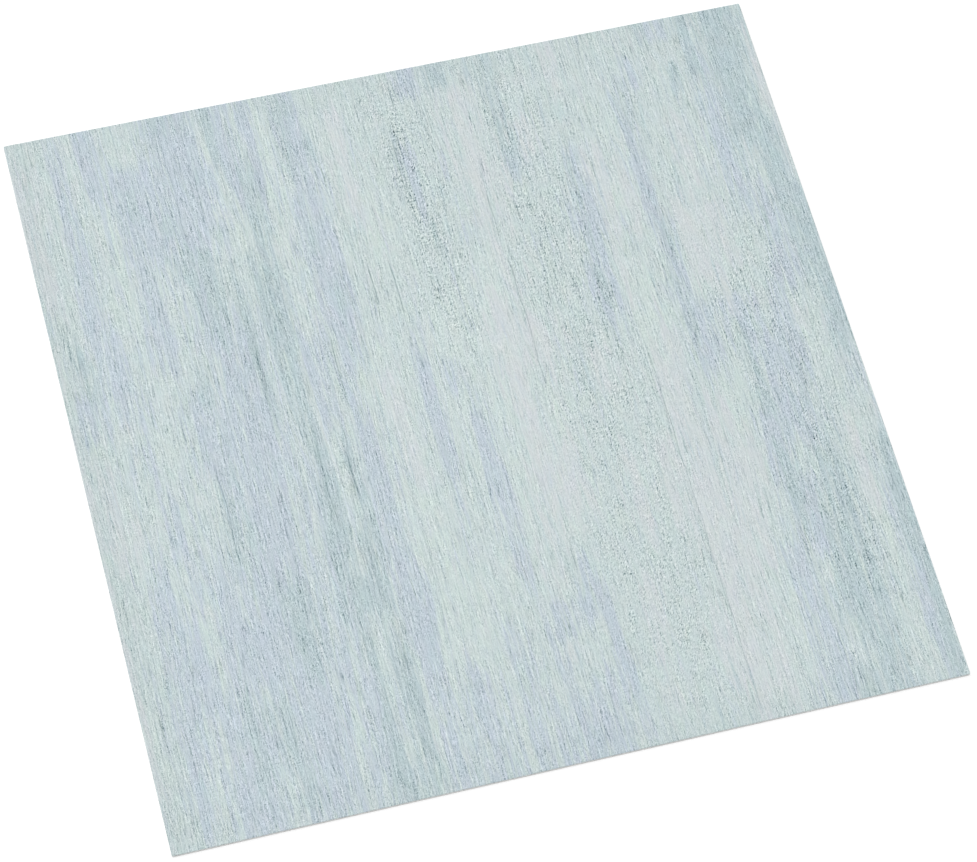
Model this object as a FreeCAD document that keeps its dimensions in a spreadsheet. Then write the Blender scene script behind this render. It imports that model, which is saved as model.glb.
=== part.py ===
import FreeCAD
import Part
import Sketcher
import os

# A vinyl floor tile: one square sheet of filled vinyl with a printed wear face, lying flat, face up.
# Origin: the middle of the underside. +X runs across the printed grain, +Y along it, +Z out of the
# wear face. Sizes are in millimetres.
#
# The tile is stamped out of a laminated sheet with a steel rule die, wear face towards the blade.
# The blade leaves three things on the blank: small radii at the four corners, where the rule is bent,
# a rolled rim where it first presses the wear layer down, and square sides below the rim that end in
# a sharp arris at the underside.

# The driving sizes: name, value and what it is.
SIZES = [
    ("tile_width", 305, "across the grain, side to side"),
    ("tile_length", 305, "along the grain, end to end"),
    ("tile_thickness", 1.5, "underside to wear face"),
    ("corner_radius", 0.5, "of the die at the four corners, in plan"),
    ("rim_radius", 0.2, "of the rolled rim round the wear face"),
]

NODE = "vinyl_tile"
PARTS_FOLDER = "parts"

# How far apart two heights may be and still count as one, in millimetres.
TOLERANCE = 1e-6


def size_sheet(doc):
    """Puts the driving sizes in a spreadsheet, one row each, with the name as the value's alias."""
    sheet = doc.addObject("Spreadsheet::Sheet", "Sizes")
    for row, (name, value, meaning) in enumerate(SIZES, start=1):
        sheet.set(f"A{row}", name)
        sheet.set(f"B{row}", str(value))
        sheet.setAlias(f"B{row}", name)
        sheet.set(f"C{row}", meaning)
    doc.recompute()
    return sheet


def origin_plane(body, role):
    """The origin plane of a body that has this role."""
    return next(plane for plane in body.Origin.OriginFeatures if plane.Role == role)


def draw_blank_outline(sketch, sheet):
    """A rectangle about the sketch's origin, with its width and length bound to the sheet."""
    half_width = sheet.get("tile_width") / 2
    half_length = sheet.get("tile_length") / 2
    corners = [
        FreeCAD.Vector(-half_width, -half_length, 0),
        FreeCAD.Vector(half_width, -half_length, 0),
        FreeCAD.Vector(half_width, half_length, 0),
        FreeCAD.Vector(-half_width, half_length, 0),
    ]
    front, right, back, left = range(4)
    for side in (front, right, back, left):
        next_corner = corners[(side + 1) % 4]
        sketch.addGeometry(Part.LineSegment(corners[side], next_corner))

    start_point, end_point = 1, 2
    for side in (front, right, back, left):
        constraint = ("Coincident", side, end_point, (side + 1) % 4, start_point)
        sketch.addConstraint(Sketcher.Constraint(*constraint))
    for side in (front, back):
        sketch.addConstraint(Sketcher.Constraint("Horizontal", side))
    for side in (right, left):
        sketch.addConstraint(Sketcher.Constraint("Vertical", side))

    sketch_origin = (-1, 1)
    opposite_corners = (front, start_point, back, start_point)
    sketch.addConstraint(Sketcher.Constraint("Symmetric", *opposite_corners, *sketch_origin))

    ends_of_front = (front, start_point, front, end_point)
    across = Sketcher.Constraint("DistanceX", *ends_of_front, 2 * half_width)
    sketch.renameConstraint(sketch.addConstraint(across), "width")
    sketch.setExpression("Constraints.width", "Sizes.tile_width")

    ends_of_right = (right, start_point, right, end_point)
    along = Sketcher.Constraint("DistanceY", *ends_of_right, 2 * half_length)
    sketch.renameConstraint(sketch.addConstraint(along), "length")
    sketch.setExpression("Constraints.length", "Sizes.tile_length")


def upright_edges(shape):
    """The names of the straight edges that stand between the underside and the wear face."""
    names = []
    for number, edge in enumerate(shape.Edges, start=1):
        box = edge.BoundBox
        if box.XLength < TOLERANCE and box.YLength < TOLERANCE:
            names.append(f"Edge{number}")
    return names


def wear_face_edges(shape):
    """The names of the edges that lie in the plane of the wear face."""
    top = shape.BoundBox.ZMax
    names = []
    for number, edge in enumerate(shape.Edges, start=1):
        if edge.BoundBox.ZMin > top - TOLERANCE:
            names.append(f"Edge{number}")
    return names


def round_edges(doc, body, name, base, edge_names, radius_size):
    """Rounds the named edges of a feature by a radius from the sheet."""
    fillet = body.newObject("PartDesign::Fillet", name)
    fillet.Base = (base, edge_names)
    fillet.setExpression("Radius", f"Sizes.{radius_size}")
    base.Visibility = False
    doc.recompute()
    return fillet


def make_tile(doc, sheet):
    """The die-cut tile as one solid: the blank, its corner radii, then the rolled rim."""
    body = doc.addObject("PartDesign::Body", "Tile")
    body.Label = NODE

    outline = body.newObject("Sketcher::SketchObject", "BlankOutline")
    outline.AttachmentSupport = [(origin_plane(body, "XY_Plane"), "")]
    outline.MapMode = "FlatFace"
    draw_blank_outline(outline, sheet)
    doc.recompute()

    blank = body.newObject("PartDesign::Pad", "Blank")
    blank.Profile = outline
    blank.setExpression("Length", "Sizes.tile_thickness")
    doc.recompute()

    corners = round_edges(
        doc, body, "CornerRadii", blank, upright_edges(blank.Shape), "corner_radius"
    )
    round_edges(doc, body, "RolledRim", corners, wear_face_edges(corners.Shape), "rim_radius")
    return body


def check(doc, bodies):
    """Stops if a feature failed or a sub-part is not one valid solid."""
    for item in doc.Objects:
        if "Invalid" in item.State or "Error" in item.State:
            raise RuntimeError(f"{item.Name} did not recompute: {item.State}")
    for body in bodies:
        shape = body.Shape
        if shape.isNull() or not shape.isValid() or len(shape.Solids) != 1:
            raise RuntimeError(f"{body.Label} is not one valid solid")


def main():
    doc = FreeCAD.newDocument("VinylFloorTile")
    sheet = size_sheet(doc)
    tile = make_tile(doc, sheet)
    doc.recompute()
    check(doc, [tile])

    os.makedirs(PARTS_FOLDER, exist_ok=True)
    tile.Shape.exportStep(os.path.join(PARTS_FOLDER, f"{tile.Label}.step"))
    box = tile.Shape.optimalBoundingBox()
    print(f"{tile.Label}: {box.XLength:.3f} x {box.YLength:.3f} x {box.ZLength:.3f} mm")
    print(f"volume {tile.Shape.Volume / 1000:.2f} cm3, {len(tile.Shape.Faces)} faces")


main()
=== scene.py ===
import math
import random

import bpy
import numpy as np
from bpy.props import FloatProperty, FloatVectorProperty, IntProperty, PointerProperty
from mathutils import Matrix, Vector, noise


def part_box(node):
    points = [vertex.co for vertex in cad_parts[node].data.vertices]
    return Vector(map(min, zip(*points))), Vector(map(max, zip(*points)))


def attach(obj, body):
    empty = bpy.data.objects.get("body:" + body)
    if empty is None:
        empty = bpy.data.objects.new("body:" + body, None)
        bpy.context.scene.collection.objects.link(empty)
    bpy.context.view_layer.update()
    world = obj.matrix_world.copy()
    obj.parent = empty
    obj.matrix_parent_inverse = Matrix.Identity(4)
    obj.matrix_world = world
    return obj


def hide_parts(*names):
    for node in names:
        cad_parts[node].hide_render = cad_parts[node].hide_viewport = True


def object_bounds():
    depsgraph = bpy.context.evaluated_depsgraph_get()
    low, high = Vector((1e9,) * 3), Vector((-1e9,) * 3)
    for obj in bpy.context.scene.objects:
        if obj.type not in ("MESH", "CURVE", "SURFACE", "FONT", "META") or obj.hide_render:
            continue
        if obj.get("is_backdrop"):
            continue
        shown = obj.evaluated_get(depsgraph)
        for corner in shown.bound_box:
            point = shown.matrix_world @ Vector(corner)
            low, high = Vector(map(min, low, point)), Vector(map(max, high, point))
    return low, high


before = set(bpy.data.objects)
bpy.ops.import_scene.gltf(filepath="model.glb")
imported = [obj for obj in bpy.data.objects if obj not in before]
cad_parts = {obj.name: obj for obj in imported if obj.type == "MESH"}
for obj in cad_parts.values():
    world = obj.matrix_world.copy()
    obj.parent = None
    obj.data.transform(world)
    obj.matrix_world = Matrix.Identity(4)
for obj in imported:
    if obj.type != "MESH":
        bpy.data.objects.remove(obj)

bl_info = {
    "name": "Vinyl Floor Tile",
    "version": (1, 0, 0),
    "blender": (4, 5, 0),
    "location": "View3D > Sidebar > Floor Tile",
    "description": "Makes a square vinyl floor tile with a streaked print, and a plain studio round it",
    "category": "Add Mesh",
}

# The tile lies flat with its printed face up. +X runs across the grain and +Y along it, away from the
# camera. Blender works in metres, and the sizes of the print and the embossing are in millimetres here.
MM = 0.001

CAD_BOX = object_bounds()
TILE_LOW, TILE_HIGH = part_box("vinyl_tile")


def seen_colour(red, green, blue):
    """A colour given by its 0 to 255 screen values, as the linear values that Blender's shaders take."""
    linear = []
    for level in (red, green, blue):
        share = level / 255
        linear.append(share / 12.92 if share <= 0.04045 else ((share + 0.055) / 1.055) ** 2.4)
    return tuple(linear)


# Settings that a user would change


def length_setting(name, description, default):
    return FloatProperty(
        name=name, description=description, default=default, min=0.0,
        precision=5, subtype="DISTANCE", unit="LENGTH",
    )


def colour_setting(name, description, screen_colour):
    return FloatVectorProperty(
        name=name, description=description, default=seen_colour(*screen_colour),
        size=3, min=0.0, max=1.0, subtype="COLOR",
    )


def share_setting(name, description, default):
    return FloatProperty(
        name=name, description=description, default=default, min=0.0, max=2.0, subtype="FACTOR",
    )


def count_setting(name, description, default, most):
    return IntProperty(name=name, description=description, default=default, min=4, max=most)


class TileSizes(bpy.types.PropertyGroup):
    """The sizes of the tile's edges and embossing."""

    corner_radius: length_setting("Corner radius", "Radius of the die at the four corners", 0.5 * MM)
    rim_radius: length_setting("Rim radius", "Radius of the rolled rim round the printed face", 0.2 * MM)
    emboss_depth: length_setting("Embossing", "Deepest groove of the embossed grain", 0.09 * MM)
    bump_depth: length_setting("Fine embossing", "Height of the fine grain, which is bump only", 0.06 * MM)
    columns: count_setting("Columns", "Mesh cells across the grain, in bundles of eight", 79, 80)
    rows: count_setting("Rows", "Mesh cells along the grain, in bundles of eight", 16, 24)


class PrintColours(bpy.types.PropertyGroup):
    """The inks of the printed face and the colours of the vinyl under it."""

    ground: colour_setting("Ground", "The pale blue-grey that the print lies on", (200, 214, 214))
    cream: colour_setting("Cream", "Palest streaks, a warm mint white", (204, 218, 216))
    blush: colour_setting("Blush", "Faint rosy grey streaks", (206, 215, 217))
    lavender: colour_setting("Lavender", "Soft violet grey streaks", (192, 205, 214))
    slate: colour_setting("Slate", "Darkest blue-green streaks", (187, 204, 208))
    core: colour_setting("Core", "Filled vinyl on the cut sides", (238, 239, 238))
    backing: colour_setting("Backing", "Filled vinyl of the underside", (186, 188, 187))
    grain_contrast: share_setting("Grain", "How strongly the fine grain lightens and darkens the print", 1.0)
    roughness: share_setting("Roughness", "Roughness of the matt wear layer", 0.5)


class StageSettings(bpy.types.PropertyGroup):
    """The floor, the light and the camera."""

    floor_side: length_setting("Floor", "Side of the square floor", 6.0)
    floor_colour: colour_setting("Floor colour", "Colour of the floor", (250, 250, 250))
    daylight: share_setting("Daylight", "Share of the light that comes evenly from all round", 0.53)
    key_light: share_setting("Key light", "Share of the light that comes from the large lamp", 0.5)


# Where the print's streaks lie. Each is given as its middle across the grain, its far end, its
# near end and its half width, in millimetres with the middle of the tile at 0, and how strongly it is
# laid on. The patches and lines below have the same five values.
SLATE_STREAKS = [
    (-44, 154, 112, 4, 0.75), (-35, 131, 117, 3, 0.7), (-62, 134, 62, 3, 0.8), (-63, 70, -46, 3.5, 1),
    (-65, -40, -78, 4.5, 0.95), (-60, -60, -76, 6, 0.9), (-63.5, -74, -156, 3.2, 0.8),
    (-68, 84, 14, 3.5, 0.75), (-76, 76, 8, 2.8, 0.75), (-87, 92, 46, 6, 0.75), (-95, 90, 74, 4, 0.7),
    (-109, 122, 106, 5, 0.7), (-97, 110, 96, 3, 0.7), (-99, 41, 22, 4.5, 0.6), (-90, 156, 142, 9, 0.55),
    (-72, 156, 118, 2.5, 0.8), (-142, 56, 44, 2.5, 0.7), (-141, 42, 30, 3, 0.6), (-37, 66, 50, 3, 0.8),
    (-47, 38, 12, 3.4, 0.5), (-43, 90, 76, 2.5, 0.7), (0, 124, 88, 3, 0.4), (-102, 4, -52, 2.2, 0.6),
    (-97, -28, -62, 4.5, 0.45), (-52, -2, -32, 3, 0.8), (-53, -34, -78, 4.5, 0.8),
    (-53, -80, -158, 4.2, 0.75), (-86, -58, -92, 6, 0.8), (-84, -88, -102, 4, 0.7),
    (-140, -82, -95, 2.5, 0.8), (-112, -94, -136, 5, 0.75), (-101, -102, -128, 4, 0.75),
    (-98, -128, -148, 4, 0.8), (-64, -118, -156, 4.5, 0.8), (22, 156, 141, 4, 0.9), (43, 158, 92, 4.2, 0.6),
    (5, 84, 66, 2.4, 0.5), (64, 98, 58, 2.6, 0.6), (62, 48, 26, 2.6, 0.65), (94, 124, 104, 3.2, 0.6),
    (94, 64, 46, 3.2, 0.6), (92, 38, 6, 3, 0.6), (116, 132, 116, 3.5, 0.8), (108, 156, 142, 3, 0.7),
    (126, 156, 118, 3.5, 0.9), (140, 160, 84, 9, 1.2), (145, 96, 56, 6, 0.9), (148, 64, 26, 6, 1.2),
    (150, 34, -4, 5, 1), (111, 10, -34, 3.5, 0.55), (110, -42, -82, 3.2, 0.8), (128, -8, -32, 3, 0.5),
    (126, -48, -160, 8.5, 0.85), (120, -80, -130, 4, 1), (114, -104, -122, 3, 0.8),
    (115, -138, -158, 3.5, 0.8), (150, -42, -160, 4, 1), (147, 2, -14, 3.5, 0.7),
]
LAVENDER_STREAKS = [
    (-122, 158, 120, 5, 1), (-134, 150, 40, 4.2, 0.9), (-107, 132, 88, 10, 1.1), (-87, 160, 92, 12, 1.1),
    (-57, 160, 104, 3.5, 0.9), (-66, 160, 98, 4.5, 0.8), (-41, 160, 22, 8, 0.95), (-110, 92, 40, 7, 0.8),
    (-92, 100, 50, 9, 0.6), (-84, 60, -10, 12, 0.9), (-100, 30, -10, 8, 0.8), (-130, 64, 16, 8, 0.7),
    (-144, 36, 14, 6, 0.7), (-128, 12, -2, 6, 0.6), (-55, 44, 0, 5, 0.9), (-15, 36, -34, 4.5, 0.8),
    (-5, 22, 4, 4, 0.7), (-88, 0, -160, 14, 0.95), (-122, -2, -40, 9, 0.6), (-108, -38, -100, 12, 0.85),
    (-132, -38, -110, 8, 0.8), (-118, -84, -160, 14, 0.85), (-138, -100, -150, 5, 0.7),
    (-43, 8, -112, 6.5, 1), (-43, -106, -158, 6, 0.7), (-68, 0, -156, 6, 0.7), (-28, -104, -160, 8, 0.8),
    (-8, -92, -158, 7, 0.55), (1, 4, -76, 4.5, 0.85), (-17, -34, -66, 4, 0.6), (10, 160, 138, 8, 0.8),
    (3, 120, 82, 3.5, 0.8), (15, 114, 98, 2.5, 0.7), (17, 92, 70, 3, 0.6), (42, 108, 90, 3, 0.9),
    (66, 104, 60, 4.5, 0.8), (63, 78, 16, 5.5, 0.85), (91, 132, 56, 4.2, 0.8), (93, 56, -8, 4.2, 0.9),
    (130, 134, 106, 4, 0.9), (128, 112, 56, 6, 0.9), (137, 70, 26, 5, 0.9), (133, 34, 18, 7, 0.7),
    (113, 24, 0, 7, 0.75), (127, 18, -8, 6, 0.7), (116, 158, 142, 5, 0.8), (101, 138, 122, 2.5, 0.7),
    (118, 2, -46, 7, 0.8), (126, -2, -50, 5, 0.8), (147, 4, -28, 4, 0.7), (147, -66, -158, 4, 0.8),
    (108, -28, -64, 5, 0.8), (105, -76, -160, 7, 0.85), (115, -58, -92, 6, 0.8), (22, -70, -98, 4, 0.9),
    (27, -84, -128, 4, 0.8), (10, -88, -104, 9, 0.7), (4, -98, -122, 5, 0.6), (12, -122, -160, 15, 0.8),
    (100, 22, -6, 4, 0.6),
]
BLUSH_STREAKS = [
    (-148, 144, 72, 5.5, 0.8), (-145, 6, -44, 4.5, 0.75), (-137, -16, -34, 2.5, 0.8),
    (-23, 142, 84, 3.5, 0.9), (-30, 22, 0, 5, 0.85), (-28, 4, -32, 4, 0.8), (28, 140, 96, 8, 0.9),
    (26, 112, 48, 3.5, 0.9), (33, 104, 66, 3.5, 0.9), (38, 100, 82, 2.5, 0.7), (20, 44, -56, 7.5, 0.9),
    (28, 32, 10, 5, 0.8), (30, -22, -54, 5.5, 0.9), (14, -46, -84, 3, 0.8), (69, 158, 126, 3.5, 1),
    (51, 120, 102, 5, 0.85), (75, 104, 58, 5, 0.85), (83, 94, 56, 3.5, 0.9), (103, 70, 28, 6, 0.9),
    (115, 64, 34, 5.5, 0.8), (111, 108, 74, 4, 0.9), (109, 40, 14, 3.5, 0.8), (73, 54, 22, 2.5, 0.7),
    (81, 16, -8, 5, 0.85), (53, 14, -8, 5, 0.8), (35, 28, -2, 4.5, 0.7), (77, 2, -66, 6, 1),
    (90, -18, -84, 7, 0.85), (98, -40, -60, 5, 0.8), (74, -58, -158, 4.5, 1), (80, -52, -94, 6, 0.9),
    (52, -26, -74, 4.5, 0.75), (65, -28, -74, 5, 0.75), (45, -82, -108, 4.5, 0.8), (42, -108, -144, 3, 0.7),
    (67, -108, -142, 4.5, 0.85), (84, -88, -150, 4.5, 0.85), (95, -84, -94, 4, 0.7),
    (140, -34, -78, 4, 0.85), (133, 12, 2, 3, 0.7), (8, -104, -114, 4, 0.6), (151, 140, 70, 2, 0.9),
    (-151.5, 60, -158, 2, 0.6),
]
CREAM_STREAKS = [
    (-53, 158, 74, 3.5, 1), (-77, 130, 100, 4.5, 0.9), (-120, 118, 62, 5, 0.6), (-86, 112, 100, 5, 0.6),
    (-70, 100, 84, 3, 0.9), (-35, 34, 4, 6, 0.9), (-17, 104, 60, 9, 0.7), (-30, -26, -116, 9, 0.6),
    (-18, -66, -120, 9, 0.5), (0, 44, 16, 7, 0.6), (18, 66, 44, 8, 0.7), (48, 44, 22, 8, 0.5),
    (108, 64, 34, 9, 1), (82, 110, 64, 9, 0.7), (77, 50, -4, 7, 0.8), (60, -38, -54, 8, 0.7),
    (98, -10, -60, 7, 0.8), (-24, 136, 116, 5, 0.5), (119, -44, -62, 6, 0.8), (140, -60, -150, 4, 0.6),
    (-147, -90, -130, 4, 0.5), (-122, -48, -92, 3, 0.8), (-75, -106, -132, 4, 0.8), (32, 30, -60, 10, 0.5),
    (100, -100, -130, 8, 0.5), (135, 10, -12, 5, 0.7), (6, 50, -50, 20, 0.45),
]
# Where the face is gritty like stone instead of fibrous like wood.
GRITTY_PATCHES = [
    (2, 150, 24, 13, 1.25), (48, 150, -122, 20, 1), (50, 155, 10, 20, 0.2), (50, 15, -138, 22, 0.9),
    (110, 65, -2, 14, 0.8), (127, 60, -122, 20, 0.8), (-85, 90, 2, 16, 0.3), (-82, -52, -112, 10, 0.4),
    (-45, 150, 110, 6, 0.5),
]
# Painted shade: the print is a little darker along the left, the far and the near side, where the light
# falls off toward the tile's edges.
PAINTED_SHADE_PATCHES = [
    (-150, 220, -220, 9, 0.65), (0, 200, 142, 260, 0.3), (0, -142, -200, 260, 0.38),
]
# Where the fibres are faint.
CALM_PATCHES = [
    (46, -14, -150, 22, 1), (20, 50, -60, 9, 0.5), (-20, -40, -120, 12, 0.4), (-12, 110, 60, 6, 0.4),
    (28, 130, 60, 8, 0.4), (-122, -44, -80, 6, 0.5), (-115, 150, 128, 8, 0.5), (110, 70, 30, 8, 0.5),
]
# Fine dark and pale lines shade the print and leave its hue alone, and the dark ones are grooves too.
DARK_LINES = [
    (-78, 80, 47, 0.8, 0.7), (-76, 45, 5, 1, 1), (-70, 100, 47, 0.7, 0.6), (-64, 92, 47, 1.8, 0.7),
    (-64, 2, -42, 1, 0.8), (-53, -7, -28, 1.1, 0.9), (-54, -42, -73, 1.2, 0.6), (-52, -72, -150, 1.9, 0.5),
    (-57, 128, 102, 0.7, 0.6), (-46, 148, 127, 0.8, 0.5), (-37, 42, 12, 0.7, 0.4), (-101, 2, -42, 0.9, 0.7),
    (-1, 120, 92, 0.9, 0.7), (5, 82, 66, 1.2, 0.6), (41, 150, 95, 1.2, 0.6), (61, 57, -3, 0.9, 0.5),
    (92, 127, -8, 1.2, 0.5), (109, 32, -28, 1, 0.6), (109, -42, -156, 0.9, 0.6), (127, 2, -32, 1.1, 0.5),
    (129, -38, -98, 0.9, 0.7), (116, -20, -44, 0.8, 0.7), (20, -68, -98, 0.7, 0.6),
    (-11, -16, -34, 0.7, 0.6),
]
# The finest dark lines are single cracks in the grain.
HAIRLINES = [
    (72, 8, -150, 0.28, 0.5), (75, -34, -41, 0.3, 0.8), (29.6, 60, -2, 0.25, 0.7), (29.5, 9, -1, 0.3, 0.8),
    (30.2, 106, 97, 0.3, 1), (28.6, 102, 66, 0.25, 0.6), (8.3, 59, 52, 0.3, 0.8), (45.8, 53, 43, 0.3, 0.9),
    (-25.1, 68, 49, 0.3, 1), (-16.3, 68, 43, 0.28, 0.8), (-18.5, 49, 41.5, 0.25, 0.7),
    (-28.3, 48, 41.5, 0.25, 0.7), (-92.4, 70, 54, 0.3, 0.9), (-47.2, 42, 10, 0.3, 0.8),
    (0.4, 124, 108, 0.3, 0.9), (64, -87, -92, 0.3, 0.8), (57.5, -48, -53, 0.3, 0.7),
    (84, -32, -42, 0.25, 0.7), (-76, 44, 20, 0.3, 0.8), (-52.5, -8, -30, 0.3, 1), (-63, -2, -40, 0.28, 0.7),
    (-102.5, -2, -48, 0.28, 0.7), (20, -66, -78, 0.28, 0.6), (-91.6, 150, 90, 0.25, 0.6),
    (-82.3, 126, 98, 0.25, 0.7), (-123.6, 149, 135, 0.3, 0.8), (-87.5, 140, 116, 0.25, 0.4),
    (-57, 118, 110, 0.32, 0.7), (-7, 153, 146, 0.3, 0.7), (-17, 97, 82, 0.25, 0.6),
    (-2.2, 122, 96, 0.3, 0.7), (3, 152, 135, 0.25, 0.5), (-146, 112, 92, 0.25, 0.4),
    (-127.8, 102, 92, 0.25, 0.4), (-111, 104, 94, 0.25, 0.4), (-38, 98, 78, 0.25, 0.4),
    (-29, 90, 75, 0.25, 0.4), (-65, 126, 100, 0.25, 0.3),
]
# The last two are no lines: they lighten the middle and the near right of the tile very faintly.
PALE_LINES = [
    (49, -81, -92, 0.4, 0.9), (-75, 137, 102, 0.9, 0.6), (-71, 96, 76, 0.9, 0.8), (-71, 38, 16, 1, 1),
    (-67, 23, 1, 0.8, 0.7), (-58, 5, -42, 1.2, 1), (-57, -70, -89, 1.2, 0.8), (-58, -85, -150, 1.2, 0.6),
    (-51, 147, 105, 0.9, 0.7), (-32, 97, 65, 0.9, 0.5), (-24, 139, 88, 1, 0.5), (73, 5, -88, 0.8, 0.6),
    (119, -6, -24, 1.4, 0.8), (134, 2, -20, 1, 0.7), (112, -86, -124, 1, 0.6), (127, -108, -156, 0.9, 0.5),
    (0, 60, -60, 45, 0.04), (115, -60, -175, 30, 0.06),
]
# The printed face carries these layouts as values on its vertices, under these names.
LAYOUTS = {
    "slate_streaks": SLATE_STREAKS,
    "lavender_streaks": LAVENDER_STREAKS,
    "blush_streaks": BLUSH_STREAKS,
    "cream_streaks": CREAM_STREAKS,
    "gritty_patches": GRITTY_PATCHES,
    "calm_patches": CALM_PATCHES,
    "painted_edge_shade": PAINTED_SHADE_PATCHES,
}
BRUSHED_LAYOUTS = {
    "slate_hairs": SLATE_STREAKS,
    "dark_lines": DARK_LINES,
    "pale_lines": PALE_LINES,
}
RELIEF = "relief"
# A hairline is finer than the mesh, so the mesh carries where its middle lies and how strong it is.
BESIDE_LINE = "beside_hairline"
LINE_STRENGTH = "hairline_strength"

# The brushed layouts are drawn by a dry brush: each streak is a soft wash and hairs that start and end
# at random places. The half width, length and strength of a hair are shares of the streak's, and so are
# how widely the hairs scatter about its middle and how far they may run past its ends.
WASH_SHARE = 0.5
LEAST_HAIRS = 3
HAIRS_PER_MM = 1.2
HAIR_SCATTER = 0.55
HAIR_OVERRUN = 0.15
HAIR_HALF_WIDTH = (0.16, 0.4)
HAIR_LENGTH_SHARE = (0.3, 1.0)
HAIR_STRENGTH = (0.2, 0.6)
# Each end of a streak or hair fades out over this share of its length, and its sides are cut off at
# this many half widths.
FADE_SHARE = 0.4
STROKE_REACH = 3
# A hairline is laid on the points this near it, in millimetres beside it and beyond its ends, and fades
# in over this length. Points with no hairline near lie this many half widths beside one.
HAIRLINE_REACH = 1.1
HAIRLINE_MARGIN = 2
HAIRLINE_FADE = 4
NO_HAIRLINE = 9.0


def smooth_step(values):
    """Eases values between 0 and 1, and holds them there outside."""
    held = np.clip(values, 0.0, 1.0)
    return held * held * (3 - 2 * held)


def end_fade(along, far_end, near_end, fade, start=0.0):
    """How fully a stroke is there along its length, from 0 beyond its ends to 1 between them."""
    far_share = smooth_step((far_end - along) / fade + start)
    near_share = smooth_step((along - near_end) / fade + start)
    return far_share * near_share


def brushed(streaks):
    """The strokes of a dry brush: for each streak its soft wash and its hairs, in the same five values."""
    draw = random.Random(len(streaks))
    for middle, far_end, near_end, half_width, strength in streaks:
        yield middle, far_end, near_end, half_width, WASH_SHARE * strength
        length = far_end - near_end
        for _ in range(LEAST_HAIRS + round(HAIRS_PER_MM * half_width)):
            share = draw.uniform(*HAIR_LENGTH_SHARE)
            start = far_end - length * draw.uniform(-HAIR_OVERRUN, 1 + HAIR_OVERRUN - share)
            yield (
                draw.gauss(middle, HAIR_SCATTER * half_width), start, start - share * length,
                half_width * draw.uniform(*HAIR_HALF_WIDTH), strength * draw.uniform(*HAIR_STRENGTH),
            )


def lay_strokes(strokes, across, along):
    """How strongly soft strokes cover each point, from 0 to about 1. Places are in millimetres."""
    cover = np.zeros_like(across)
    for middle, far_end, near_end, half_width, strength in strokes:
        near = np.abs(across - middle) < STROKE_REACH * half_width
        ends = end_fade(along[near], far_end, near_end, FADE_SHARE * (far_end - near_end), start=0.5)
        body = np.exp(-(((across[near] - middle) / half_width) ** 2))
        cover[near] += (1.0 - np.minimum(cover[near], 1.0)) * strength * body * ends
    return cover


def lay_hairlines(across, along):
    """How far each point lies beside the nearest hairline, in half widths of it, and how strong it is."""
    beside = np.full_like(across, NO_HAIRLINE)
    force = np.zeros_like(across)
    for middle, far_end, near_end, half_width, strength in HAIRLINES:
        near = np.abs(across - middle) < HAIRLINE_REACH
        near &= (along < far_end + HAIRLINE_MARGIN) & (along > near_end - HAIRLINE_MARGIN)
        beside[near] = (across[near] - middle) / half_width
        force[near] = strength * end_fade(along[near], far_end, near_end, HAIRLINE_FADE)
    return beside, force


# The tile's mesh

# Each corner arc has lines at these shares of its radius, which gives it six straight stretches.
ARC_SHARES = (1 / 3, 2 / 3, 1)
# The rolled rim turns down in rings at these angles.
RIM_ANGLES = (30, 60, 90)
# The dense edge of the face has this many cells for each one of the underside.
BUNDLE = 8

FACE_SLOT, SIDE_SLOT, BACK_SLOT = range(3)


def grid_lines(core, cells):
    """A grid's lines in one direction, each as its place on the core and its share of the arc beyond."""
    low = [(-core, -share) for share in reversed(ARC_SHARES)]
    middle = [(-core + 2 * core * number / cells, 0.0) for number in range(cells + 1)]
    high = [(core, share) for share in ARC_SHARES]
    return low + middle + high


def round_to_arc(across, along):
    """Moves a point of a corner's square, its shares between -1 and 1, onto the corner's round."""
    return across * math.sqrt(1 - along ** 2 / 2), along * math.sqrt(1 - across ** 2 / 2)


def grid_places(columns, rows, radius):
    """Every point of a grid with rounded corners, row by row."""
    places = []
    for row_place, row_share in rows:
        for column_place, column_share in columns:
            outward = round_to_arc(column_share, row_share)
            places.append((column_place + radius * outward[0], row_place + radius * outward[1]))
    return places


def outline_stations(columns, rows):
    """Walks once round a grid's edge: each stop's grid index, its place on the core and its way out."""
    last_column, last_row = len(columns) - 1, len(rows) - 1
    stops = [(column, 0) for column in range(last_column)]
    stops += [(last_column, row) for row in range(last_row)]
    stops += [(column, last_row) for column in range(last_column, 0, -1)]
    stops += [(0, row) for row in range(last_row, 0, -1)]
    stations = []
    for column, row in stops:
        column_place, column_share = columns[column]
        row_place, row_share = rows[row]
        index = row * len(columns) + column
        stations.append((index, (column_place, row_place), round_to_arc(column_share, row_share)))
    return stations


def grid_faces(columns, rows, first, face_up):
    """The four-sided cells of a grid whose points start at the index first."""
    width = len(columns)
    corners = [first + row * width + column for row in range(len(rows) - 1) for column in range(width - 1)]
    faces = [(corner, corner + 1, corner + width + 1, corner + width) for corner in corners]
    return faces if face_up else [face[::-1] for face in faces]


def out_from(core_place, outward, reach):
    """The place this far out from a place on the core."""
    return core_place[0] + reach * outward[0], core_place[1] + reach * outward[1]


def ring_faces(upper, lower):
    """The cells between two rings of equal count that run the same way round."""
    return list(zip(upper, lower, lower[1:] + lower[:1], upper[1:] + upper[:1]))


def side_faces(upper, lower, stations):
    """The cut side, from the dense ring under the rim to the sparse ring at the underside."""
    faces = []
    dense = 0
    for number in range(len(lower)):
        after = (number + 1) % len(lower)
        straight = stations[number][2] == stations[after][2]
        step = BUNDLE if straight else 1
        run = [upper[(dense + ahead) % len(upper)] for ahead in range(step + 1)]
        faces.append((run[step // 2], lower[number], lower[after]))
        for ahead in range(step):
            foot = lower[number] if ahead < step // 2 else lower[after]
            faces.append((run[ahead], foot, run[ahead + 1]))
        dense += step
    return faces


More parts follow.
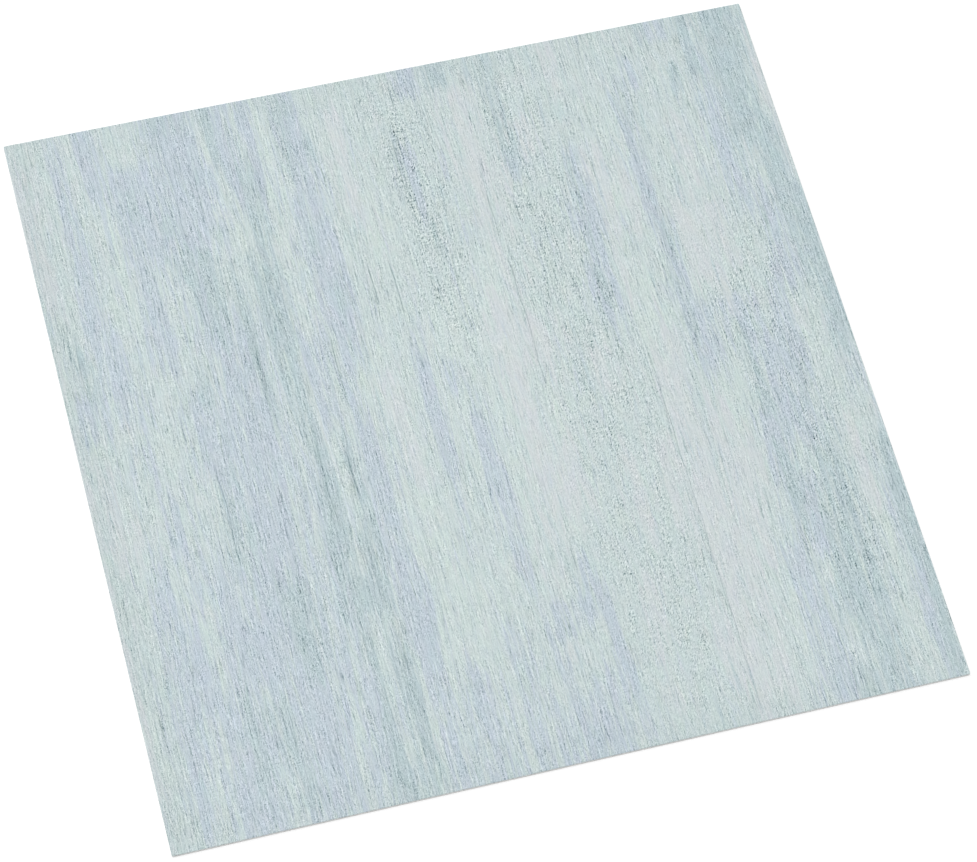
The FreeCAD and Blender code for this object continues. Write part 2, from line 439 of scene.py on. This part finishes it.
# The embossing's patterns: depth as a share of the deepest groove, cell across and along the grain in
# millimetres, and the noise's value at which the pattern sets in and the span over which it deepens.
EMBOSS_PATTERNS = {
    "swell": (0.16, 15.0, 55.0, -1.0, 2.0),
    "groove": (0.55, 3.0, 30.0, 0.12, 0.6),
    "fibre": (0.30, 1.7, 10.0, -1.0, 2.0),
    "pit": (0.25, 1.9, 4.8, 0.1, 0.6),
}
# The share of the grooves and fibres that goes where the face is gritty.
GRIT_CLEARS = 0.6
# How deep the grooves of the dark lines and hairlines are, as the same kind of share. A hairline's groove
# is wider than its print by this factor, because the mesh is coarser than the line.
LINE_GROOVE = 0.5
GROOVE_WIDENING = 1.6


def pattern_depth(name, across, along):
    """How deep one pattern is at a point. Each is cut from a layer of the noise that no other one uses."""
    depth, cell_across, cell_along, start, span = EMBOSS_PATTERNS[name]
    layer = 7.3 * len(name) + depth
    value = noise.noise(Vector((across / cell_across, along / cell_along, layer)))
    return depth * max(0.0, value - start) / span


def emboss_share(across, along, grit):
    """How deep the embossing is at a point, from 0 at the surface to 1 at the deepest."""
    swell, groove, fibre, pit = [pattern_depth(name, across, along) for name in EMBOSS_PATTERNS]
    return swell + (1 - GRIT_CLEARS * grit) * (groove + fibre) + grit * pit


# The map that colours are baked through, in pixels: left, bottom, width and height of its areas. The
# printed face has most of it, the four cut sides are strips below it, and the underside one beside it.
MAP_NAME = "OFBake"
MAP_PIXELS = 1024
FACE_MAP = (8, 136, 880, 880)
BACK_MAP = (904, 136, 112, 880)
SIDE_MAPS = [(8, 8 + 32 * number, 880, 20) for number in range(4)]


def in_map(area, across, up):
    """A place in the map, from its shares of an area's width and height, as shares of the whole map."""
    left, bottom, width, height = area
    return (left + width * across) / MAP_PIXELS, (bottom + height * up) / MAP_PIXELS


class TileMesh:
    """Collects the points, faces and values of the tile's one closed mesh."""

    def __init__(self, sizes):
        self.half_width = (TILE_HIGH.x - TILE_LOW.x) / 2
        self.half_length = (TILE_HIGH.y - TILE_LOW.y) / 2
        self.top = TILE_HIGH.z
        self.bottom = TILE_LOW.z
        self.corner = sizes.corner_radius
        self.rim = sizes.rim_radius
        self.depth = sizes.emboss_depth
        self.points = []
        self.flat_places = []
        self.relief = []
        self.faces = []
        self.slots = []
        across = (self.half_width - self.corner, sizes.columns)
        along = (self.half_length - self.corner, sizes.rows)
        self.sparse = [grid_lines(core, cells) for core, cells in (across, along)]
        self.dense = [grid_lines(core, cells * BUNDLE) for core, cells in (across, along)]

    def add_point(self, place, height, flat_place, share=0.0):
        """Keeps a point, its place where the face and rim are laid out flat, and its relief."""
        self.points.append((*place, height))
        self.flat_places.append(flat_place)
        self.relief.append(share)
        return len(self.points) - 1

    def add_faces(self, faces, slot):
        self.faces += faces
        self.slots += [slot] * len(faces)

    def add_face(self):
        """The printed face, with its embossing sunk below the nominal surface."""
        places = grid_places(*self.dense, self.corner - self.rim)
        across, along = np.array(places).T / MM
        grit = np.clip(lay_strokes(GRITTY_PATCHES, across, along), 0.0, 1.0)
        cracks = [(*line[:3], GROOVE_WIDENING * line[3], line[4]) for line in HAIRLINES]
        grooves = lay_strokes(brushed(DARK_LINES), across, along) + lay_strokes(cracks, across, along)
        grooves *= LINE_GROOVE
        for number, place in enumerate(places):
            share = min(1.0, grooves[number] + emboss_share(across[number], along[number], grit[number]))
            self.add_point(place, self.top - self.depth * share, place, share)
        self.add_faces(grid_faces(*self.dense, 0, True), FACE_SLOT)

    def add_rim(self):
        """The rolled rim. It follows the embossing where it leaves the face and is true at its foot."""
        stations = outline_stations(*self.dense)
        ring = [index for index, core_place, outward in stations]
        for angle in RIM_ANGLES:
            turn = math.radians(angle)
            reach = self.corner - self.rim + self.rim * math.sin(turn)
            laid_out = self.corner - self.rim + self.rim * turn
            lower = []
            for index, core_place, outward in stations:
                share = self.relief[index] * math.cos(turn)
                height = self.top - self.depth * share - self.rim * (1 - math.cos(turn))
                place = out_from(core_place, outward, reach)
                lower.append(self.add_point(place, height, out_from(core_place, outward, laid_out), share))
            self.add_faces(ring_faces(ring, lower), FACE_SLOT)
            ring = lower
        return ring

    def add_back_and_sides(self, rim_foot):
        """The flat underside, and the cut sides between it and the foot of the rim."""
        first = len(self.points)
        for place in grid_places(*self.sparse, self.corner):
            self.add_point(place, self.bottom, place)
        stations = outline_stations(*self.sparse)
        lower = [first + index for index, core_place, outward in stations]
        self.add_faces(side_faces(rim_foot, lower, stations), SIDE_SLOT)
        self.add_faces(grid_faces(*self.sparse, first, False), BACK_SLOT)

    def map_place(self, face, slot, vertex):
        """Where a face's corner lies in the map."""
        x, y, z = self.points[vertex]
        if slot == SIDE_SLOT:
            middle = np.mean([self.points[corner] for corner in face], axis=0)
            on_end = abs(middle[1]) / self.half_length > abs(middle[0]) / self.half_width
            side = (0 if middle[1] < 0 else 1) if on_end else (2 if middle[0] < 0 else 3)
            run = x / self.half_width if on_end else y / self.half_length
            return in_map(SIDE_MAPS[side], 0.5 + run / 2, (z - self.bottom) / (self.top - self.bottom))
        flat_x, flat_y = self.flat_places[vertex]
        area = FACE_MAP if slot == FACE_SLOT else BACK_MAP
        return in_map(area, 0.5 + flat_x / self.half_width / 2, 0.5 + flat_y / self.half_length / 2)

    def build(self, name):
        """Makes the Blender mesh, with its slots, shading, map and vertex values."""
        mesh = bpy.data.meshes.new(name)
        mesh.from_pydata(self.points, [], self.faces)
        mesh.polygons.foreach_set("material_index", self.slots)
        mesh.polygons.foreach_set("use_smooth", [slot != BACK_SLOT for slot in self.slots])
        places = []
        for face, slot in zip(self.faces, self.slots):
            for vertex in face:
                places.extend(self.map_place(face, slot, vertex))
        mesh.uv_layers.new(name=MAP_NAME).data.foreach_set("uv", places)
        across, along = np.array(self.flat_places).T / MM
        values = {name: lay_strokes(strokes, across, along) for name, strokes in LAYOUTS.items()}
        for layout, streaks in BRUSHED_LAYOUTS.items():
            values[layout] = lay_strokes(brushed(streaks), across, along)
        values[BESIDE_LINE], values[LINE_STRENGTH] = lay_hairlines(across, along)
        values[RELIEF] = np.array(self.relief)
        for layout, numbers in values.items():
            attribute = mesh.attributes.new(name=layout, type="FLOAT", domain="POINT")
            attribute.data.foreach_set("value", numbers.astype(np.float32))
        mesh.update()
        if mesh.validate():
            raise RuntimeError("the tile's mesh had faults")
        return mesh


# Materials


class Bench:
    """Lays out the nodes of one tree. Its methods return the output of the node that they add."""

    def __init__(self, tree):
        self.tree = tree
        tree.nodes.clear()

    def add(self, kind, **settings):
        node = self.tree.nodes.new(kind)
        node.location = (220 * (len(self.tree.nodes) % 12), -260 * (len(self.tree.nodes) // 12))
        for name, value in settings.items():
            setattr(node, name, value)
        return node

    def feed(self, socket, value):
        """Links an output to the socket, or sets a plain number or colour on it."""
        if isinstance(value, bpy.types.NodeSocket):
            self.tree.links.new(value, socket)
        elif socket.type == "RGBA" and len(value) == 3:
            socket.default_value = (*value, 1.0)
        else:
            socket.default_value = value

    def fed(self, kind, output, *values, **settings):
        """Adds a node and feeds its first inputs in order."""
        node = self.add(kind, **settings)
        for socket, value in zip(node.inputs, values):
            self.feed(socket, value)
        return node.outputs[output]

    def math(self, operation, *values):
        return self.fed("ShaderNodeMath", "Value", *values, operation=operation)

    def plus(self, first, second):
        return self.math("ADD", first, second)

    def times(self, value, weight, base=None):
        """A value times a weight, on top of a base where one is given."""
        if base is None:
            return self.math("MULTIPLY", value, weight)
        return self.math("MULTIPLY_ADD", value, weight, base)

    def spread(self, value, low, high, to_low=0.0, to_high=1.0, kind="LINEAR"):
        """Stretches the span from low to high over another one, and holds what lies outside."""
        spans = (low, high, to_low, to_high)
        return self.fed("ShaderNodeMapRange", "Result", value, *spans, interpolation_type=kind, clamp=True)

    def mix(self, share, first, second, blend="MIX"):
        node = self.add("ShaderNodeMix", data_type="RGBA", blend_type=blend)
        colours = [socket for socket in node.inputs if socket.type == "RGBA"]
        self.feed(node.inputs["Factor"], share)
        self.feed(colours[0], first)
        self.feed(colours[1], second)
        return next(socket for socket in node.outputs if socket.type == "RGBA")

    def colour_of(self, red, green, blue):
        """A colour from its three channels."""
        return self.fed("ShaderNodeCombineColor", "Color", red, green, blue)

    def laid(self, name):
        """A value that the mesh carries on its vertices."""
        return self.add("ShaderNodeAttribute", attribute_type="GEOMETRY", attribute_name=name).outputs["Fac"]

    def part(self, place, axis):
        """One coordinate of a place, named X, Y or Z."""
        return self.fed("ShaderNodeSeparateXYZ", axis, place)

    def object_place(self):
        return self.add("ShaderNodeTexCoord").outputs["Object"]

    def shift(self, place, across=0.0, along=0.0):
        """Moves places across and along the grain by amounts in metres."""
        way = self.fed("ShaderNodeCombineXYZ", "Vector", across, along)
        return self.fed("ShaderNodeVectorMath", "Vector", place, way, operation="ADD")

    def cells(self, place, across, along, octaves=1, roughness=0.5, start=0.0, third=None):
        """Soft cells of this size in millimetres, as values round 0.5. The start picks another pattern."""
        mapping = self.add("ShaderNodeMapping")
        upward = 1.0 if third is None else 1 / (third * MM)
        self.feed(mapping.inputs["Vector"], place)
        self.feed(mapping.inputs["Scale"], (1 / (across * MM), 1 / (along * MM), upward))
        self.feed(mapping.inputs["Location"], (17.3 * start, 9.7 * start, 5.1 * start))
        flat = "2D" if third is None else "3D"
        texture = self.add("ShaderNodeTexNoise", noise_dimensions=flat)
        self.feed(texture.inputs["Vector"], mapping.outputs["Vector"])
        self.feed(texture.inputs["Scale"], 1.0)
        self.feed(texture.inputs["Detail"], octaves - 1)
        self.feed(texture.inputs["Roughness"], roughness)
        return texture.outputs[0]

    def sum_of(self, parts):
        """Adds up patterns about zero, each as its output and its weight."""
        total = None
        for pattern, weight in parts:
            total = self.times(self.math("SUBTRACT", pattern, 0.5), weight, total)
        return total

    def finish(self, kind, surface):
        """Ends the tree in an output node."""
        self.feed(self.add(kind).inputs["Surface"], surface)

    def finish_vinyl(self, colour, roughness, heights, depth, ior=1.5):
        """Ends a material of the tile in its surface, with a bump from a pattern of heights."""
        bump = self.add("ShaderNodeBump")
        self.feed(bump.inputs["Distance"], depth)
        self.feed(bump.inputs["Height"], heights)
        shader = self.add("ShaderNodeBsdfPrincipled")
        self.feed(shader.inputs["Base Color"], colour)
        self.feed(shader.inputs["Roughness"], roughness)
        self.feed(shader.inputs["Normal"], bump.outputs["Normal"])
        self.feed(shader.inputs["IOR"], ior)
        self.finish("ShaderNodeOutputMaterial", shader.outputs["BSDF"])


def new_material(name):
    """A material, and the bench that its nodes are laid out on."""
    material = bpy.data.materials.new(name)
    material.use_nodes = True
    return material, Bench(material.node_tree)


# A pattern of cells is given from here on by its cell across and along the grain, in millimetres, its
# octaves and its roughness. The start, which picks one of many such patterns, comes last. Most of a
# pattern's values lie between these two.
MOST_VALUES = (0.3, 0.7)

# The course of the grain wanders: pattern, how far in millimetres, and start.
COURSE = [(26, 90, 2, 0.5, 3.0, 1), (3, 6, 1, 0.5, 0.4, 2)]
# The inks and the fibres are shifted along the grain: how far across it a shift holds, how far it
# reaches, in millimetres, and start.
INK_SHIFT = (5.0, 70.0, 63)
FIBRE_SHIFT = (3.0, 14.0, 64)

# The inks, palest first: the layout and the colour of each, and how much it adds to the fine grain's
# force, which is this on the bare ground.
INKS = [
    ("cream_streaks", "cream", -0.12),
    ("blush_streaks", "blush", -0.25),
    ("lavender_streaks", "lavender", 0.12),
    ("slate_streaks", "slate", 0.14),
]
GROUND_FORCE = 0.89
# The brush's pattern, whose start changes with the ink, tears the ink's edges by this much. The ink sets
# in and covers fully at these values.
BRUSH = (3.2, 44, 4, 0.75)
RAGGED = 2.8
INK_STARTS, INK_COVERS = 0.18, 0.87
# Faint drifts in hue: pattern, the two casts, and start.
CASTS = [
    (6, 10, 2, 0.8, (0.975, 1.0, 1.025), (1.025, 1.0, 0.975), 21),
    (5, 9, 2, 0.8, (1.02, 0.98, 1.02), (0.98, 1.02, 0.98), 22),
]

# The grain: pattern, how much it lightens and darkens the print, and start. Fibres, specks and broad
# bands lie everywhere, and the stony parts have grit as well.
FIBRES = [(0.42, 1.6, 1, 1, 0.42, 40), (0.44, 6, 1, 1, 0.26, 41)]
SPECKS = [(0.42, 0.54, 1, 1, 0.59, 43)]
BROAD_BANDS = [(2.6, 90, 2, 1, 0.08, 46)]
GRIT = [(0.42, 0.66, 1, 1, 0.76, 49), (0.62, 1.3, 1, 1, 0.5, 50), (1.6, 2.2, 2, 1, 0.18, 51)]
# How far the specks and the grit lean, as a share of their length.
LEAN = 0.5
# The woody lines: how far apart they lie, in millimetres, how far they sway, in radians, the pattern
# that they sway with, how much they darken and lighten the print, and start.
WOODY_LINES = [(1.35, 9, 3, 26, 2, 0.5, 0.064, 60), (1.8, 8, 4, 36, 2, 0.5, 0.032, 61)]
# Strands are long thin lines where a pattern is near its middle value: its cell across and along the
# grain, how near, how much they darken or lighten the print, and start. They come up between these
# values of a second pattern, whose cell is half as long.
STRANDS = [(1.6, 30, 0.05, -0.26, 24), (1.5, 24, 0.05, 0.11, 25)]
STRANDS_SHOW = (0.48, 0.66)
# Pits lie in the stony parts: pattern, the values between which a pit sets in, how much it darkens the
# print, and start.
PITS = (0.95, 1.2, 2, 0.5, 0.62, 0.74, -0.20, 27)
# The fibres and strands that are left where the face is calm.
CALM_SHARE = 0.5
# Strengths that swing about 1: pattern, how far to either side, and start.
WOODY_SWING = (1.1, 2.6, 2, 0.8, 0.8, 29)
GRAIN_SWING = (3.6, 13, 3, 0.8, 0.55, 20)
LINE_SWING = (1, 7, 2, 0.8, 0.6, 23)
# The grain's value spans about this much from its darkest to its palest, and its square is taken off by
# this share, because dark grain is a little darker than pale grain is pale.
GRAIN_SPAN = 0.4
LOPSIDED = 0.4
# The wear layer is a little smoother on the high places: its roughness swings by this much to either
# side while the grain's value goes from below zero to above it by this much.
ROUGHNESS_SWING, SWING_SPAN = 0.07, 0.15

# The level of the print without its grain, which brings it to its ink's colour on the screen, and how
# much red, green and blue follow the grain. Dark grain is bluer than the print under it.
PRINT_LEVEL = 1.033
GRAIN_CAST = (1.10, 0.97, 0.94)
# How much the laid lines lighten or darken the print.
LINE_SHADES = {"pale_lines": 0.07, "dark_lines": -0.10, "slate_hairs": -0.03}
# Hairlines wander: pattern, how far in half widths, and start. They end this many half widths beside
# their middle.
CROOKED = [(2, 3, 2, 0.5, 1.4, 28), (8, 15, 1, 0.5, 5.0, 30)]
HAIRLINE_EDGE = 1.2
HAIRLINE_SHADE = -0.50
# Low places of the relief, and the edges under the painted shade, are darker by so much.
RELIEF_SHADE = -0.04
PAINTED_SHADE_DARKENING = -0.10


def woody_lines(bench, place, apart, sway, *pattern, start):
    """Lines along the grain that sway and lie closer here and farther there, from -1 to 1."""
    turns = bench.times(bench.part(place, "X"), 2 * math.pi / (apart * MM))
    swaying = bench.cells(place, *pattern, start=start)
    return bench.math("SINE", bench.times(swaying, sway, turns))


def leaning(bench, place, lean):
    """Places that lean to the right as they go up the tile."""
    return bench.shift(place, across=bench.times(bench.part(place, "Y"), -lean))


def staggered(bench, place, across, reach, start):
    """Places shifted along the grain, here farther and there less far."""
    pattern = bench.cells(place, across, 40 * across, start=start)
    return bench.shift(place, along=bench.times(bench.sum_of([(pattern, reach)]), MM))


def swing(bench, place, swinging):
    """A factor that swings about 1 from cell to cell."""
    *pattern, reach, start = swinging
    return bench.spread(bench.cells(place, *pattern, start=start), *MOST_VALUES, 1 - reach, 1 + reach)


def strand_lines(bench, place, across, along, reach, start):
    """Long thin lines that come and go along their length, from 0 between them to 1 on them."""
    pattern = bench.cells(place, across, along, start=start)
    apart = bench.math("ABSOLUTE", bench.math("SUBTRACT", pattern, 0.5))
    shown = bench.spread(bench.cells(place, across, 0.5 * along, start=start + 2), *STRANDS_SHOW)
    return bench.times(bench.spread(apart, 0.0, reach, 1.0, 0.0), shown)


def layered(bench, place, patterns):
    """The sum of some patterns of cells about zero."""
    return bench.sum_of([
        (bench.cells(place, *pattern, start=start), weight) for *pattern, weight, start in patterns
    ])


def lay_inks(bench, place, colours):
    """The ground with its inks, and the force that the fine grain has on them."""
    ink_place = staggered(bench, place, *INK_SHIFT)
    print_colour = colours.ground
    force = GROUND_FORCE
    for number, (layout, ink, extra_force) in enumerate(INKS):
        brush = bench.cells(ink_place, *BRUSH, start=3 + number)
        edge = bench.plus(bench.laid(layout), bench.sum_of([(brush, RAGGED)]))
        cover = bench.spread(edge, INK_STARTS, INK_COVERS, kind="SMOOTHSTEP")
        print_colour = bench.mix(cover, print_colour, getattr(colours, ink))
        force = bench.times(cover, extra_force, force)
    return print_colour, force


def drift_in_hue(bench, place, print_colour):
    """Tints the print between two casts, here more to the one and there more to the other."""
    for *pattern, low, high, start in CASTS:
        cast = bench.mix(bench.cells(place, *pattern, start=start), low, high)
        print_colour = bench.mix(1.0, print_colour, cast, "MULTIPLY")
    return print_colour


def fine_grain(bench, place, fibre_place, force):
    """Fibres, specks and strands, fainter where the face is calm, and grit and pits where it is gritty."""
    leant = leaning(bench, place, LEAN)
    fibres = bench.plus(layered(bench, fibre_place, FIBRES), layered(bench, leant, SPECKS))
    frays = swing(bench, place, WOODY_SWING)
    for *course, weight, start in WOODY_LINES:
        lines = woody_lines(bench, place, *course, start=start)
        fibres = bench.times(bench.times(lines, weight), frays, fibres)
    long_grain = layered(bench, place, BROAD_BANDS)
    for *course, weight, start in STRANDS:
        long_grain = bench.times(strand_lines(bench, place, *course, start), weight, long_grain)
    share = bench.spread(bench.laid("calm_patches"), 0.0, 1.0, 1.0, CALM_SHARE)
    *pattern, low, high, weight, start = PITS
    pits = bench.spread(bench.cells(place, *pattern, start=start), low, high, 0.0, weight)
    grit = bench.times(bench.plus(layered(bench, leant, GRIT), pits), bench.laid("gritty_patches"))
    fine = bench.plus(bench.times(fibres, share), grit)
    uneven = swing(bench, fibre_place, GRAIN_SWING)
    fine = bench.plus(bench.times(fine, uneven), bench.times(long_grain, share))
    return bench.times(fine, force)


def hairline_cover(bench, place):
    """Where the hairlines lie, as a share of cover, along a slightly crooked course."""
    crooked = layered(bench, place, CROOKED)
    beside = bench.math("ABSOLUTE", bench.plus(bench.laid(BESIDE_LINE), crooked))
    cover = bench.spread(beside, 0.0, HAIRLINE_EDGE, 1.0, 0.0)
    return bench.times(cover, bench.laid(LINE_STRENGTH))


def shade_change(bench, place, fine, contrast):
    """How much lighter or darker than its ink the print is, about zero, painted shade along the edges
    included.
    """
    lopsided = bench.times(bench.times(fine, fine), -LOPSIDED, fine)
    frayed = swing(bench, place, LINE_SWING)
    lines = 0.0
    for layout, weight in LINE_SHADES.items():
        lines = bench.times(bench.laid(layout), weight, lines)
    change = bench.times(lopsided, contrast)
    change = bench.times(lines, frayed, change)
    change = bench.times(hairline_cover(bench, place), HAIRLINE_SHADE, change)
    change = bench.times(bench.laid(RELIEF), RELIEF_SHADE, change)
    # Painted shade: the print is darkened along the left, far and near edges of the tile.
    return bench.times(bench.laid("painted_edge_shade"), PAINTED_SHADE_DARKENING, change)


def printed_face_material(sizes, colours):
    """The print under the clear, matt, embossed wear layer."""
    material, bench = new_material("printed wear face")
    still = bench.object_place()
    place = bench.shift(still, across=bench.times(layered(bench, still, COURSE), MM))
    fibre_place = staggered(bench, place, *FIBRE_SHIFT)
    print_colour, force = lay_inks(bench, place, colours)
    print_colour = drift_in_hue(bench, fibre_place, print_colour)
    fine = fine_grain(bench, place, fibre_place, force)
    change = shade_change(bench, place, fine, colours.grain_contrast)
    levels = [bench.times(change, share, PRINT_LEVEL) for share in GRAIN_CAST]
    shaded = bench.mix(1.0, print_colour, bench.colour_of(*levels), "MULTIPLY")
    dull, smooth = colours.roughness + ROUGHNESS_SWING, colours.roughness - ROUGHNESS_SWING
    roughness = bench.spread(fine, -SWING_SPAN, SWING_SPAN, dull, smooth)
    bench.finish_vinyl(shaded, roughness, fine, sizes.bump_depth / GRAIN_SPAN, ior=1.46)
    return material


def mottled(bench, colour, patterns):
    """A colour that some patterns, each with its weight, make paler here and darker there."""
    level = bench.plus(1.0, bench.sum_of(patterns))
    return bench.mix(1.0, colour, bench.colour_of(level, level, level), "MULTIPLY")


# The printed film's colour goes over into the core's between these depths under the wear face.
FILM_FOOT, FILM_TOP = 0.32 * MM, 0.26 * MM


def cut_side_material(colours):
    """Filled vinyl as the die leaves it, with the thin printed film along its top."""
    material, bench = new_material("cut side")
    place = bench.object_place()
    filler = bench.cells(place, 0.35, 0.35, octaves=3, roughness=0.6, third=0.35, start=21)
    drag = bench.cells(place, 0.5, 0.5, octaves=2, third=4.0, start=22)
    core = mottled(bench, colours.core, [(filler, 0.34), (drag, 0.18)])
    film = bench.spread(bench.part(place, "Z"), TILE_HIGH.z - FILM_FOOT, TILE_HIGH.z - FILM_TOP)
    roughness = bench.spread(filler, *MOST_VALUES, 0.7, 0.58)
    heights = bench.plus(filler, drag)
    bench.finish_vinyl(bench.mix(film, core, colours.ground), roughness, heights, 0.03 * MM)
    return material


def backing_material(colours):
    """The plain underside: filled vinyl from the calender, faintly mottled and dull."""
    material, bench = new_material("backing")
    place = bench.object_place()
    clouds = bench.cells(place, 16, 30, octaves=4, roughness=0.55, start=31)
    filler = bench.cells(place, 0.9, 0.9, octaves=3, roughness=0.6, start=32)
    rolled = bench.cells(place, 1.3, 60, octaves=2, start=33)
    back = mottled(bench, colours.backing, [(clouds, 0.12), (filler, 0.16), (rolled, 0.08)])
    roughness = bench.spread(filler, *MOST_VALUES, 0.72, 0.6)
    bench.finish_vinyl(back, roughness, bench.plus(filler, rolled), 0.05 * MM)
    return material


# The stage

# The camera looks at a point of the printed face a little right of and before its middle.
AIM = (2.55 * MM, -13.13 * MM, 1.5 * MM)
CAMERA_DISTANCE = 1390.14 * MM
CAMERA_AZIMUTH, CAMERA_ELEVATION, CAMERA_ROLL = -21.14, 63.33, 7.08
LENS, SENSOR = 133.589, 36.0

# The floor lies this far under the tile, so that the two never share a plane.
FLOOR_GAP = 0.05 * MM

WHITE = (1, 1, 1)

# To the camera, this share of the floor's light is a glow of this strength.
GLOW_SHARE, FLOOR_GLOW = 0.6, 1.2

# The large soft lamp stands behind the tile and to its left.
KEY_AZIMUTH, KEY_ELEVATION = -135.0, 52.0
KEY_DISTANCE = 12.0
KEY_SIDE = 9.0


def way_to(azimuth, elevation):
    """The direction from the tile to something round it. Azimuth 0 is in front and 90 to the right."""
    turn = math.radians(azimuth)
    lift = math.radians(elevation)
    return Vector((math.sin(turn) * math.cos(lift), -math.cos(turn) * math.cos(lift), math.sin(lift)))


def facing(back, roll=0.0):
    """The turn of a camera or lamp whose back is to this direction, rolled clockwise by an angle."""
    right = Vector((0, 0, 1)).cross(back).normalized()
    up = back.cross(right)
    turn = Matrix((right, up, back)).transposed().to_4x4()
    return turn @ Matrix.Rotation(math.radians(roll), 4, "Z")


def add_to_scene(name, data):
    thing = bpy.data.objects.new(name, data)
    bpy.context.scene.collection.objects.link(thing)
    return thing


def add_floor(settings):
    """A plain pale floor that stays white to the camera, apart from the tile's own soft shadow."""
    half = settings.floor_side / 2
    height = TILE_LOW.z - FLOOR_GAP
    mesh = bpy.data.meshes.new("floor")
    corners = [(-half, -half, height), (half, -half, height), (half, half, height), (-half, half, height)]
    mesh.from_pydata(corners, [], [(0, 1, 2, 3)])
    floor = add_to_scene("floor", mesh)
    material, bench = new_material("white floor")
    seen = bench.add("ShaderNodeLightPath").outputs["Is Camera Ray"]
    glow_share = bench.times(seen, GLOW_SHARE)
    matt = bench.fed("ShaderNodeBsdfDiffuse", "BSDF", settings.floor_colour)
    glow = bench.fed("ShaderNodeEmission", "Emission", WHITE, FLOOR_GLOW)
    surface = bench.fed("ShaderNodeMixShader", "Shader", glow_share, matt, glow)
    bench.finish("ShaderNodeOutputMaterial", surface)
    mesh.materials.append(material)
    floor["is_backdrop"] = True


def add_daylight(settings):
    """Even light from all round, which looks white wherever it is seen straight or in a gloss."""
    world = bpy.data.worlds.new("even daylight")
    world.use_nodes = True
    bpy.context.scene.world = world
    bench = Bench(world.node_tree)
    rays = bench.add("ShaderNodeLightPath")
    shiny = bench.math("MAXIMUM", rays.outputs["Is Glossy Ray"], rays.outputs["Is Transmission Ray"])
    seen = bench.math("MAXIMUM", rays.outputs["Is Camera Ray"], shiny)
    light = bench.fed("ShaderNodeBackground", "Background", WHITE, settings.daylight)
    white = bench.fed("ShaderNodeBackground", "Background", WHITE, 1.0)
    surface = bench.fed("ShaderNodeMixShader", "Shader", seen, light, white)
    bench.finish("ShaderNodeOutputWorld", surface)


def add_key_lamp(settings):
    """One large square lamp, as strong as its share of the light on the tile asks for."""
    back = way_to(KEY_AZIMUTH, KEY_ELEVATION)
    lamp = bpy.data.lights.new("key lamp", "AREA")
    lamp.shape = "SQUARE"
    lamp.size = KEY_SIDE
    lamp.energy = settings.key_light * math.pi ** 2 * KEY_DISTANCE ** 2 / back.z
    key = add_to_scene("key lamp", lamp)
    key.matrix_world = Matrix.Translation(back * KEY_DISTANCE) @ facing(back)


def add_camera():
    camera = bpy.data.cameras.new("camera")
    camera.lens = LENS
    camera.sensor_width = SENSOR
    camera.sensor_fit = "HORIZONTAL"
    view = add_to_scene("camera", camera)
    back = way_to(CAMERA_AZIMUTH, CAMERA_ELEVATION)
    place = Vector(AIM) + back * CAMERA_DISTANCE
    view.matrix_world = Matrix.Translation(place) @ facing(back, CAMERA_ROLL)
    bpy.context.scene.camera = view


# Operators and panel


class FLOORTILE_OT_printed_tile(bpy.types.Operator):
    """Make the printed, embossed tile"""

    bl_idname = "floor_tile.printed_tile"
    bl_label = "Printed Tile"

    def execute(self, context):
        sizes = context.scene.tile_sizes
        colours = context.scene.print_colours
        parts = TileMesh(sizes)
        parts.add_face()
        rim_foot = parts.add_rim()
        parts.add_back_and_sides(rim_foot)
        tile = add_to_scene("printed_tile", parts.build("printed tile"))
        tile.data.materials.append(printed_face_material(sizes, colours))
        tile.data.materials.append(cut_side_material(colours))
        tile.data.materials.append(backing_material(colours))
        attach(tile, "root")
        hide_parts("vinyl_tile")
        return {"FINISHED"}


class FLOORTILE_OT_stage(bpy.types.Operator):
    """Set up the floor, the light and the camera"""

    bl_idname = "floor_tile.stage"
    bl_label = "Stage"

    def execute(self, context):
        settings = context.scene.stage_settings
        add_camera()
        add_floor(settings)
        add_daylight(settings)
        add_key_lamp(settings)
        context.scene.view_settings.view_transform = "Standard"
        return {"FINISHED"}


class FLOORTILE_PT_panel(bpy.types.Panel):
    """The tile's settings, and a button for each operator"""

    bl_idname = "FLOORTILE_PT_panel"
    bl_label = "Vinyl Floor Tile"
    bl_space_type = "VIEW_3D"
    bl_region_type = "UI"
    bl_category = "Floor Tile"

    def draw(self, context):
        for owner, operator in (
            ("tile_sizes", "floor_tile.printed_tile"),
            ("print_colours", None),
            ("stage_settings", "floor_tile.stage"),
        ):
            box = self.layout.box()
            settings = getattr(context.scene, owner)
            for name in settings.__annotations__:
                box.prop(settings, name)
            if operator:
                box.operator(operator)


CLASSES = (
    TileSizes,
    PrintColours,
    StageSettings,
    FLOORTILE_OT_printed_tile,
    FLOORTILE_OT_stage,
    FLOORTILE_PT_panel,
)


def register():
    for each in CLASSES:
        bpy.utils.register_class(each)
    bpy.types.Scene.tile_sizes = PointerProperty(type=TileSizes)
    bpy.types.Scene.print_colours = PointerProperty(type=PrintColours)
    bpy.types.Scene.stage_settings = PointerProperty(type=StageSettings)


def unregister():
    del bpy.types.Scene.stage_settings
    del bpy.types.Scene.print_colours
    del bpy.types.Scene.tile_sizes
    for each in reversed(CLASSES):
        bpy.utils.unregister_class(each)


def write_size():
    """Gathers the CAD model's box and the visual model's box, lowest and highest corner of each."""
    boxes = {"cad": CAD_BOX, "visual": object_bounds()}
    plain = {name: [list(corner) for corner in corners] for name, corners in boxes.items()}


def main():
    register()
    bpy.ops.floor_tile.printed_tile()
    bpy.ops.floor_tile.stage()
    write_size()


if __name__ == "__main__":
    main()
